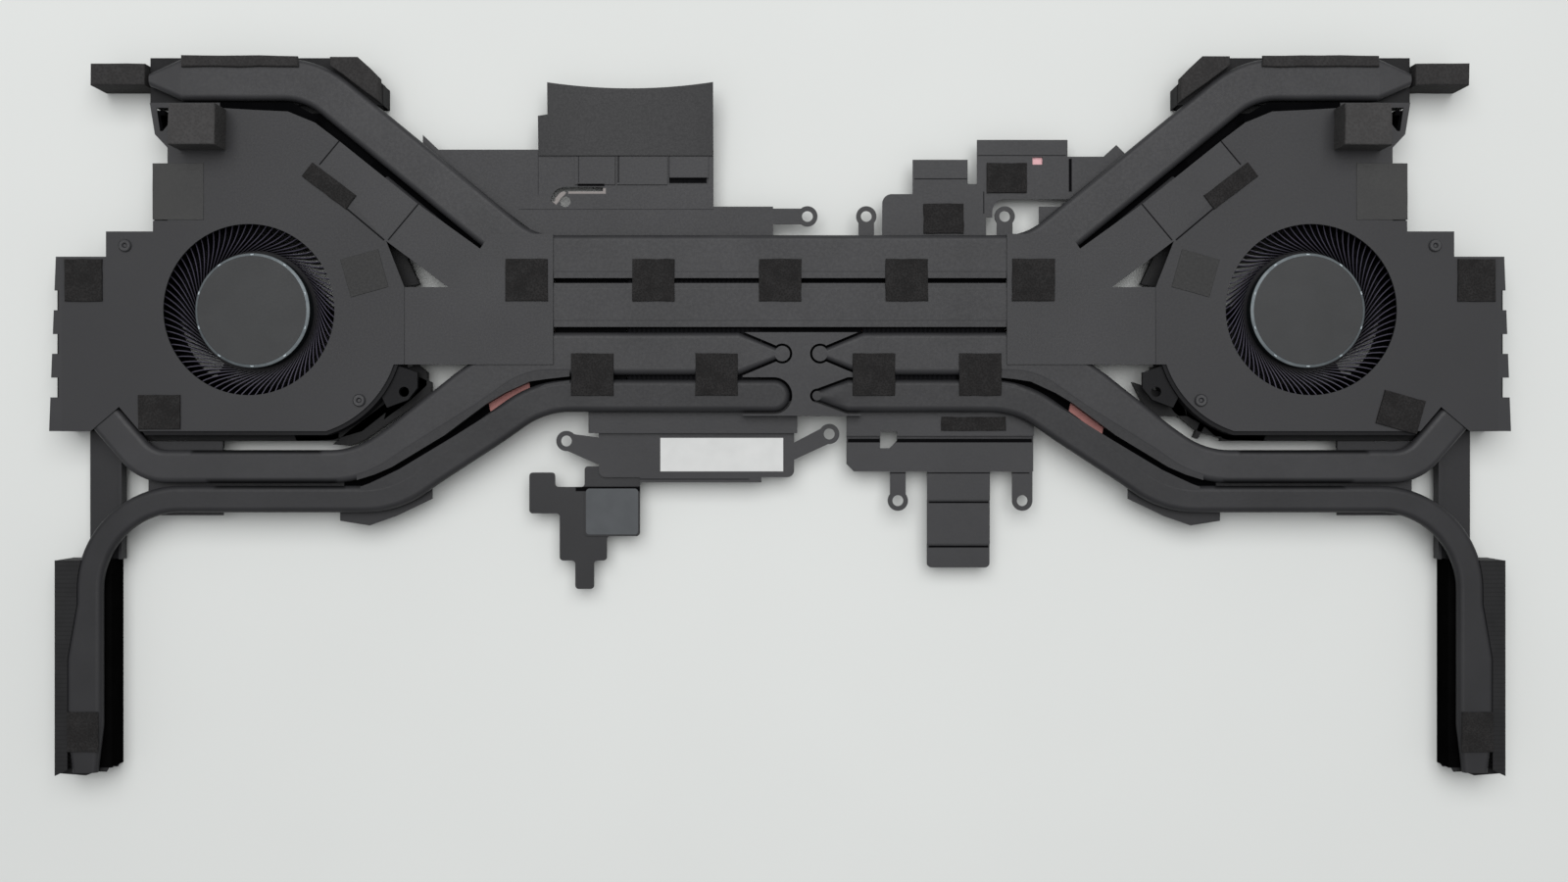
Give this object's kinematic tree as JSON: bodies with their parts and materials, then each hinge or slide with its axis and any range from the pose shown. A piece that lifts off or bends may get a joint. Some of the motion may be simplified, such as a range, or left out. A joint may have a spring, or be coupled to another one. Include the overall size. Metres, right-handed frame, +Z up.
{
  "type": "laptop cooling fan heatsink",
  "caption": "Flat laptop cooling module with heat pipes from the middle to fin stacks at the back, sides and front, and a blower at each end.",
  "frame": {"origin": "under the middle of the module, on the surface that it lies on", "axes": "+X along the module's length, +Y towards its rear fins, +Z up, away from the surface"},
  "size_m": [0.3704, 0.1834, 0.0175],
  "materials": {
    "painted_pipe": "satin black paint on copper tube",
    "painted_sheet": "satin black paint on sheet metal",
    "painted_fins": "matt black paint on thin fins",
    "fan_plastic": "fine moulded texture",
    "blade_plastic": "dark moulded blades",
    "rotor_steel": "pressed steel",
    "hub_paint": "grey painted cap with a bright rim",
    "magnet": "bonded ferrite",
    "copper": "machined copper",
    "winding": "enamelled copper wire on steel plates",
    "foam": "open-cell black foam",
    "pad": "thin black felt pad",
    "tape": "dark grey adhesive tape",
    "film": "black insulating film",
    "white_paper": "blank white sticker",
    "grey_paper": "blank dark grey sticker",
    "thermal_pad": "soft pad with a pink film"
  },
  "bodies": {
    "module": {"fan_pads": "pad", "fan_screws": "rotor_steel", "fan_tapes": "tape", "grey_label": "grey_paper", "insulating_flap": "film", "left_bearing_sleeve": "rotor_steel", "left_bridge_plate": "painted_sheet", "left_cold_plate": "copper", "left_fan_base": "fan_plastic", "left_fan_cover": "painted_sheet", "left_foam_block": "foam", "left_front_fin_stack": "painted_fins", "left_front_heat_pipe": "painted_pipe", "left_link_plate": "painted_sheet", "left_pipe_bracket": "painted_sheet", "left_rear_fin_stack": "painted_fins", "left_rear_gasket": "foam", "left_seal_strip": "painted_sheet", "left_side_fin_stack": "painted_fins", "left_side_heat_pipe": "painted_pipe", "left_side_rail": "painted_sheet", "left_stator": "winding", "lower_left_bracket": "painted_sheet", "lower_right_bracket": "painted_sheet", "middle_heat_pipe": "painted_pipe", "pipe_frame": "painted_sheet", "pipe_pads": "pad", "plate_pads": "pad", "rear_heat_pipe": "painted_pipe", "right_bearing_sleeve": "rotor_steel", "right_bridge_plate": "painted_sheet", "right_cold_plate": "copper", "right_fan_base": "fan_plastic", "right_fan_cover": "painted_sheet", "right_foam_block": "foam", "right_front_fin_stack": "painted_fins", "right_front_heat_pipe": "painted_pipe", "right_link_plate": "painted_sheet", "right_pipe_bracket": "painted_sheet", "right_rear_fin_stack": "painted_fins", "right_rear_gasket": "foam", "right_seal_strip": "painted_sheet", "right_side_fin_stack": "painted_fins", "right_side_heat_pipe": "painted_pipe", "right_side_rail": "painted_sheet", "right_stator": "winding", "step_bracket": "painted_sheet", "thermal_pads": "thermal_pad", "upper_left_plate": "painted_sheet", "upper_right_plate": "painted_sheet", "white_label": "white_paper"},
    "left_rotor": {"left_impeller": "blade_plastic", "left_rotor_cap": "hub_paint", "left_rotor_magnet": "magnet", "left_rotor_shaft": "rotor_steel"},
    "right_rotor": {"right_impeller": "blade_plastic", "right_rotor_cap": "hub_paint", "right_rotor_magnet": "magnet", "right_rotor_shaft": "rotor_steel"}
  },
  "joints": [
    {"name": "left_impeller_spin", "type": "hinge", "parent": "module", "child": "left_rotor", "pos_m": [-0.1346, 0.0271, 0.005], "axis": [0, 0, 1], "continuous": true},
    {"name": "right_impeller_spin", "type": "hinge", "parent": "module", "child": "right_rotor", "pos_m": [0.1346, 0.0271, 0.005], "axis": [0, 0, 1], "continuous": true}
  ]
}
